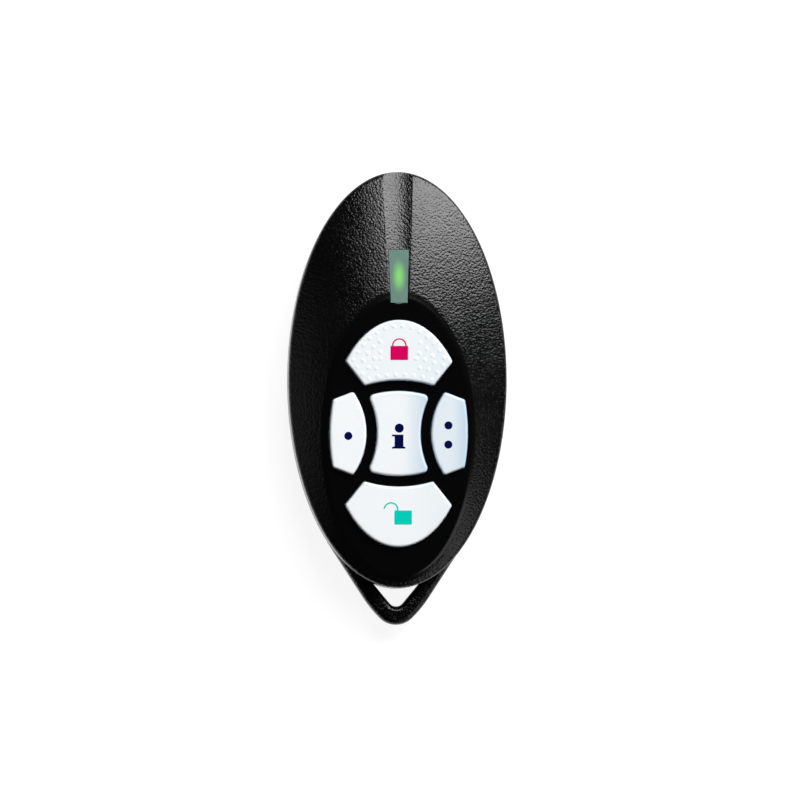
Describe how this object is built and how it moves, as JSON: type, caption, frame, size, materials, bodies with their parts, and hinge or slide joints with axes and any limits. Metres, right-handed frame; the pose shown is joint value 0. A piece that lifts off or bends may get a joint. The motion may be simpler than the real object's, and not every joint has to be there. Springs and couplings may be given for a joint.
{
  "type": "alarm key fob",
  "caption": "Oval hand remote for an alarm, with cushioned white keys on a sloping field, a status light and a V-shaped key ring lug.",
  "frame": {"origin": "middle of the flat back, at the centre of the oval case", "axes": "+X to the right seen from the keys, +Y towards the status light and away from the key ring lug, +Z out of the key face"},
  "size_m": [0.0368, 0.0761, 0.0145],
  "materials": {
    "case_black": "fine pebbled grain, smooth around the keys",
    "window_green": "translucent, satin",
    "key_white": null,
    "board_green": "solder resist",
    "cell_steel": "satin",
    "contact_steel": "satin",
    "screw_steel": "zinc plated",
    "light_white": "clear resin over white",
    "chip_black": "moulded",
    "antenna_copper": "plated copper strip",
    "capacitor_tan": "ceramic",
    "switch_black": "moulded",
    "plunger_ivory": "moulded"
  },
  "bodies": {
    "case": {"front_cover": "case_black", "rear_cover": "case_black", "status_window": "window_green", "circuit_board": "board_green", "coin_cell": "cell_steel", "positive_contact": "contact_steel", "negative_contact": "contact_steel", "status_led": "light_white", "backlight_leds": "light_white", "control_chip": "chip_black", "radio_chip": "chip_black", "crystal": "contact_steel", "antenna": "antenna_copper", "chip_capacitors": "capacitor_tan", "chip_resistors": "chip_black", "case_screws": "screw_steel", "lock_switch_base": "switch_black", "lock_switch_dome": "contact_steel", "lock_switch_cover": "contact_steel", "info_switch_base": "switch_black", "info_switch_dome": "contact_steel", "info_switch_cover": "contact_steel", "left_switch_base": "switch_black", "left_switch_dome": "contact_steel", "left_switch_cover": "contact_steel", "right_switch_base": "switch_black", "right_switch_dome": "contact_steel", "right_switch_cover": "contact_steel", "unlock_switch_base": "switch_black", "unlock_switch_dome": "contact_steel", "unlock_switch_cover": "contact_steel"},
    "lock_button": {"lock_key": "key_white", "lock_switch_plunger": "plunger_ivory"},
    "info_button": {"info_key": "key_white", "info_switch_plunger": "plunger_ivory"},
    "left_button": {"left_key": "key_white", "left_switch_plunger": "plunger_ivory"},
    "right_button": {"right_key": "key_white", "right_switch_plunger": "plunger_ivory"},
    "unlock_button": {"unlock_key": "key_white", "unlock_switch_plunger": "plunger_ivory"}
  },
  "joints": [
    {"name": "lock_press", "type": "slide", "parent": "case", "child": "lock_button", "axis": [0, 0, 1], "range_m": [-0.00035, 0], "stiffness_N_per_m": 5000, "deforming": ["lock_switch_dome"]},
    {"name": "info_press", "type": "slide", "parent": "case", "child": "info_button", "axis": [0, 0, 1], "range_m": [-0.00035, 0], "stiffness_N_per_m": 5000, "deforming": ["info_switch_dome"]},
    {"name": "left_press", "type": "slide", "parent": "case", "child": "left_button", "axis": [0, 0, 1], "range_m": [-0.00035, 0], "stiffness_N_per_m": 5000, "deforming": ["left_switch_dome"]},
    {"name": "right_press", "type": "slide", "parent": "case", "child": "right_button", "axis": [0, 0, 1], "range_m": [-0.00035, 0], "stiffness_N_per_m": 5000, "deforming": ["right_switch_dome"]},
    {"name": "unlock_press", "type": "slide", "parent": "case", "child": "unlock_button", "axis": [0, 0, 1], "range_m": [-0.00035, 0], "stiffness_N_per_m": 5000, "deforming": ["unlock_switch_dome"]}
  ]
}
